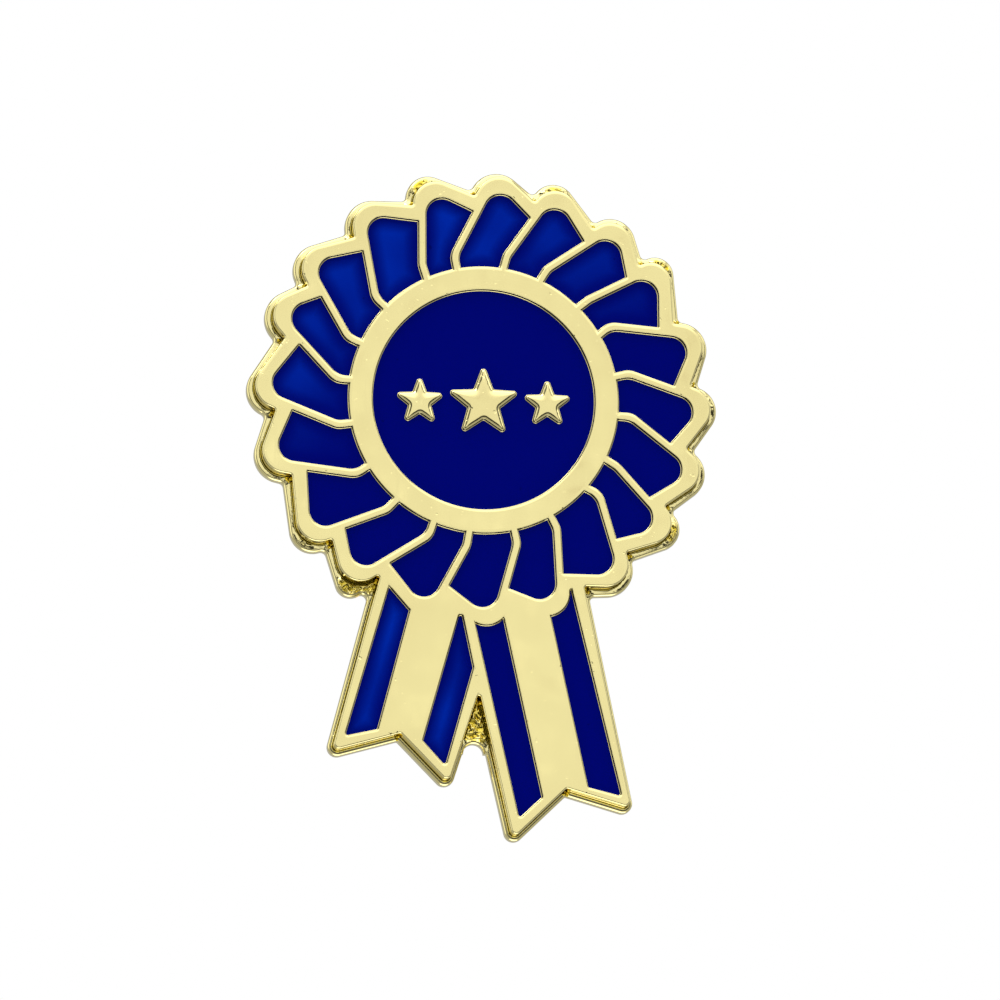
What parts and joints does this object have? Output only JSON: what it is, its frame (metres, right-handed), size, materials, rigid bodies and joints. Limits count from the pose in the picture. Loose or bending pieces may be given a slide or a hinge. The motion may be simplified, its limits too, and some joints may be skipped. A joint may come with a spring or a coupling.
{
  "type": "award rosette lapel pin",
  "caption": "Die-struck lapel pin shaped as an award rosette with two ribbon tails, blue enamel cells, and posts with butterfly clutches behind.",
  "frame": {"origin": "centre of the rosette, on the plane of the badge's flat back", "axes": "+Z towards the rosette's top, away from the tails; +Y out of the back, along the posts; the enamelled front faces -Y"},
  "size_m": [0.0225, 0.0105, 0.0322],
  "materials": {
    "gold_plating": "polished pale gold plating over struck metal",
    "blue_enamel": "glossy dark blue soft enamel",
    "solder": "dull tin solder",
    "clutch_brass": "bright pressed brass"
  },
  "bodies": {
    "badge": {"struck_body": "gold_plating", "enamel_petal_01": "blue_enamel", "enamel_petal_02": "blue_enamel", "enamel_petal_03": "blue_enamel", "enamel_petal_04": "blue_enamel", "enamel_petal_05": "blue_enamel", "enamel_petal_06": "blue_enamel", "enamel_petal_07": "blue_enamel", "enamel_petal_08": "blue_enamel", "enamel_petal_09": "blue_enamel", "enamel_petal_10": "blue_enamel", "enamel_petal_11": "blue_enamel", "enamel_petal_12": "blue_enamel", "enamel_petal_13": "blue_enamel", "enamel_petal_14": "blue_enamel", "enamel_petal_15": "blue_enamel", "enamel_petal_16": "blue_enamel", "enamel_petal_17": "blue_enamel", "enamel_petal_18": "blue_enamel", "enamel_petal_19": "blue_enamel", "enamel_petal_20": "blue_enamel", "enamel_centre": "blue_enamel", "enamel_stripe_left_outer": "blue_enamel", "enamel_stripe_left_inner": "blue_enamel", "enamel_stripe_right_inner": "blue_enamel", "enamel_stripe_right_outer": "blue_enamel", "upper_post": "gold_plating", "lower_post": "gold_plating", "upper_solder": "solder", "lower_solder": "solder"},
    "upper_clutch": {"upper_clutch_plate": "clutch_brass"},
    "upper_barrel_body": {"upper_barrel": "clutch_brass"},
    "upper_wing_left_body": {"upper_wing_left": "clutch_brass"},
    "upper_wing_right_body": {"upper_wing_right": "clutch_brass"},
    "lower_clutch": {"lower_clutch_plate": "clutch_brass"},
    "lower_barrel_body": {"lower_barrel": "clutch_brass"},
    "lower_wing_left_body": {"lower_wing_left": "clutch_brass"},
    "lower_wing_right_body": {"lower_wing_right": "clutch_brass"}
  },
  "joints": [
    {"name": "upper_clutch_slide", "type": "slide", "parent": "badge", "child": "upper_clutch", "axis": [0, 1, 0], "range_m": [-0.0035, 0.012]},
    {"name": "upper_barrel_swivel", "type": "hinge", "parent": "upper_clutch", "child": "upper_barrel_body", "pos_m": [0, 0.0053, 0.0046], "axis": [0, 1, 0], "continuous": true},
    {"name": "upper_wing_right_squeeze", "type": "hinge", "parent": "upper_barrel_body", "child": "upper_wing_right_body", "pos_m": [0.0016, 0.0072, 0.0046], "axis": [0, 0, 1], "range_deg": [0, 8], "stiffness_Nm_per_rad": 0.0002, "springref_deg": -2.86},
    {"name": "upper_wing_left_squeeze", "type": "hinge", "parent": "upper_barrel_body", "child": "upper_wing_left_body", "pos_m": [-0.0016, 0.0072, 0.0046], "axis": [0, 0, 1], "range_deg": [-8, 0], "stiffness_Nm_per_rad": 0.0002, "springref_deg": 2.86},
    {"name": "lower_clutch_slide", "type": "slide", "parent": "badge", "child": "lower_clutch", "axis": [0, 1, 0], "range_m": [-0.0035, 0.012]},
    {"name": "lower_barrel_swivel", "type": "hinge", "parent": "lower_clutch", "child": "lower_barrel_body", "pos_m": [0, 0.0053, -0.009], "axis": [0, 1, 0], "continuous": true},
    {"name": "lower_wing_right_squeeze", "type": "hinge", "parent": "lower_barrel_body", "child": "lower_wing_right_body", "pos_m": [0.0016, 0.0072, -0.009], "axis": [0, 0, 1], "range_deg": [0, 8], "stiffness_Nm_per_rad": 0.0002, "springref_deg": -2.86},
    {"name": "lower_wing_left_squeeze", "type": "hinge", "parent": "lower_barrel_body", "child": "lower_wing_left_body", "pos_m": [-0.0016, 0.0072, -0.009], "axis": [0, 0, 1], "range_deg": [-8, 0], "stiffness_Nm_per_rad": 0.0002, "springref_deg": 2.86}
  ],
  "couplings": [
    {"joint": "upper_wing_left_squeeze", "follows": "upper_wing_right_squeeze", "ratio": -1},
    {"joint": "lower_wing_left_squeeze", "follows": "lower_wing_right_squeeze", "ratio": -1}
  ]
}
